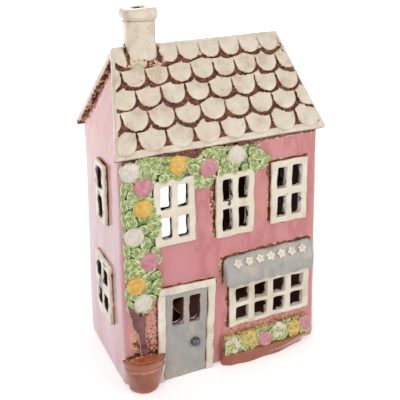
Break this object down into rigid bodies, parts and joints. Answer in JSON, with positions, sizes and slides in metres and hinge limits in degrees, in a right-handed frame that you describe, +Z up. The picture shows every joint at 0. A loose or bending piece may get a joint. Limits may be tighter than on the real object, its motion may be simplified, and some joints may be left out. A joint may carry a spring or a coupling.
{
  "type": "tealight house",
  "caption": "Glazed ceramic tealight house with a scale-tiled roof, chimney, pierced windows, awning, climbing rose and window box, open at the back for a tealight.",
  "frame": {"origin": "on the ground under the middle of the house's four walls", "axes": "+Z up, shop front facing -Y, +X to the right of the front, rear opening facing +Y"},
  "size_m": [0.134, 0.0883, 0.217],
  "materials": {
    "glaze_pink": "glossy pink glaze over pale clay",
    "glaze_cream": "glossy cream glaze, brown where it breaks at edges",
    "glaze_rust": "dark rust-brown glaze inside the house",
    "glaze_grey": "satin blue-grey glaze with brown flecks",
    "glaze_dark": "glossy charcoal glaze",
    "glaze_leaf": "glossy green glaze, pale on raised edges",
    "glaze_white": "glossy white glaze",
    "glaze_rose": "glossy rose-pink glaze",
    "glaze_yellow": "glossy golden-yellow glaze",
    "glaze_bark": "purple-brown glaze",
    "glaze_terracotta": "satin terracotta glaze",
    "tin": "thin pressed metal, lacquered a copper brown",
    "wax": "cinnamon-brown wax, slightly translucent",
    "cotton": "braided waxed cotton"
  },
  "bodies": {
    "house": {"floor_slab": "glaze_rust", "front_wall": "glaze_pink", "back_wall": "glaze_pink", "left_wall": "glaze_pink", "right_wall": "glaze_pink", "left_gable": "glaze_pink", "right_gable": "glaze_pink", "front_roof": "glaze_cream", "back_roof": "glaze_cream", "front_course_1": "glaze_cream", "front_course_2": "glaze_cream", "front_course_3": "glaze_cream", "front_course_4": "glaze_cream", "front_course_5": "glaze_cream", "back_course_1": "glaze_cream", "back_course_2": "glaze_cream", "back_course_3": "glaze_cream", "back_course_4": "glaze_cream", "back_course_5": "glaze_cream", "chimney_stack": "glaze_cream", "chimney_collar": "glaze_cream", "upper_window_left": "glaze_cream", "upper_window_middle": "glaze_cream", "upper_window_right": "glaze_cream", "shop_window": "glaze_cream", "left_window_upper": "glaze_cream", "left_window_lower": "glaze_cream", "right_window_upper": "glaze_cream", "right_window_lower": "glaze_cream", "door": "glaze_grey", "door_jambs": "glaze_cream", "door_head": "glaze_cream", "door_knob": "glaze_dark", "awning": "glaze_grey", "awning_valance": "glaze_grey", "awning_blossoms": "glaze_cream", "rose_mat": "glaze_leaf", "rose_leaves": "glaze_leaf", "roses_white": "glaze_white", "roses_pink": "glaze_rose", "roses_yellow": "glaze_yellow", "rose_stem": "glaze_bark", "pot": "glaze_terracotta", "pot_rim": "glaze_terracotta", "pot_soil": "glaze_bark", "window_box": "glaze_terracotta", "box_foliage": "glaze_leaf", "box_flowers_white": "glaze_white", "box_flowers_yellow": "glaze_yellow", "box_flowers_pink": "glaze_rose", "box_flower_eyes": "glaze_yellow"},
    "tealight": {"tealight_cup": "tin", "tealight_wax": "wax", "tealight_tab": "tin", "tealight_wick": "cotton"}
  },
  "joints": [
    {"name": "tealight_slide", "type": "slide", "parent": "house", "child": "tealight", "axis": [0, 1, 0], "range_m": [0, 0.075]}
  ]
}
